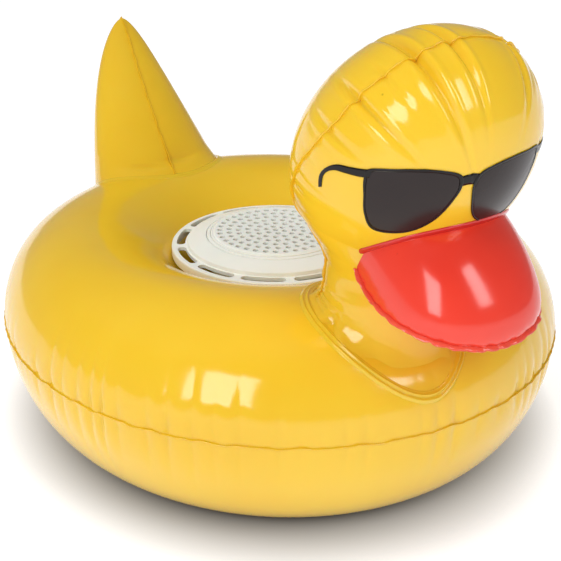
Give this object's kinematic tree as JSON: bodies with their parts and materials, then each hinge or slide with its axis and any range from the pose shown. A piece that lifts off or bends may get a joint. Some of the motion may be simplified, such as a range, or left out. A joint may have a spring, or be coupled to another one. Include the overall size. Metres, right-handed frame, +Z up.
{
  "type": "floating chlorine dispenser",
  "caption": "Inflatable duck ring with a lift-out tablet dispenser: slotted flange, perforated twist-lock lid, hanging canister and turning dosing collar.",
  "frame": {"origin": "on the floor, on the dispenser's axis at the middle of the ring", "axes": "+Z up along the dispenser's axis; -Y towards the bill, +Y towards the tail; -X is the duck's right side"},
  "size_m": [0.416, 0.5151, 0.3231],
  "materials": {
    "yellow_vinyl": "gloss",
    "red_vinyl": "gloss",
    "clear_vinyl": "gloss",
    "white_plastic": "satin",
    "grey_plastic": "satin",
    "screw_steel": "satin",
    "pressed_tablet": "matte"
  },
  "bodies": {
    "float": {"ring_upper_panel": "yellow_vinyl", "ring_lower_panel": "yellow_vinyl", "head_front_panel": "yellow_vinyl", "head_back_panel": "yellow_vinyl", "tail_right_panel": "yellow_vinyl", "tail_left_panel": "yellow_vinyl", "bill_upper_panel": "red_vinyl", "bill_lower_panel": "red_vinyl", "ring_valve_stem": "clear_vinyl", "ring_valve_flap": "clear_vinyl", "head_valve_stem": "clear_vinyl", "head_valve_flap": "clear_vinyl"},
    "dispenser": {"flange_body": "white_plastic", "canister": "white_plastic", "bottom_cap": "grey_plastic", "flange_screw_1": "screw_steel", "flange_screw_2": "screw_steel", "flange_screw_3": "screw_steel", "flange_screw_4": "screw_steel", "cap_screw_1": "screw_steel", "cap_screw_2": "screw_steel", "cap_screw_3": "screw_steel", "cap_screw_4": "screw_steel", "tablet_1": "pressed_tablet", "tablet_2": "pressed_tablet", "tablet_3": "pressed_tablet"},
    "dosing_sleeve": {"dosing_collar": "grey_plastic"},
    "lid": {"perforated_lid": "white_plastic"},
    "lid_lock": {"lock_ring": "white_plastic"},
    "ring_plug": {"ring_valve_plug": "clear_vinyl"},
    "head_plug": {"head_valve_plug": "clear_vinyl"}
  },
  "joints": [
    {"name": "dispenser_lift", "type": "slide", "parent": "float", "child": "dispenser", "axis": [0, 0, 1], "range_m": [0, 0.16]},
    {"name": "dosing_turn", "type": "hinge", "parent": "dispenser", "child": "dosing_sleeve", "pos_m": [0, 0, 0.038], "axis": [0, 0, 1], "range_deg": [0, 22.5]},
    {"name": "lid_lift", "type": "slide", "parent": "dispenser", "child": "lid", "axis": [0, 0, 1], "range_m": [0, 0.06]},
    {"name": "lock_ring_turn", "type": "hinge", "parent": "lid", "child": "lid_lock", "pos_m": [0, 0, 0.132], "axis": [0, 0, 1], "range_deg": [0, 25]},
    {"name": "ring_valve_pull", "type": "slide", "parent": "float", "child": "ring_plug", "axis": [0.6197, 0.52, 0.5878], "range_m": [0, 0.012]},
    {"name": "head_valve_pull", "type": "slide", "parent": "float", "child": "head_plug", "axis": [0.9121, 0.41, 0], "range_m": [0, 0.012]}
  ]
}
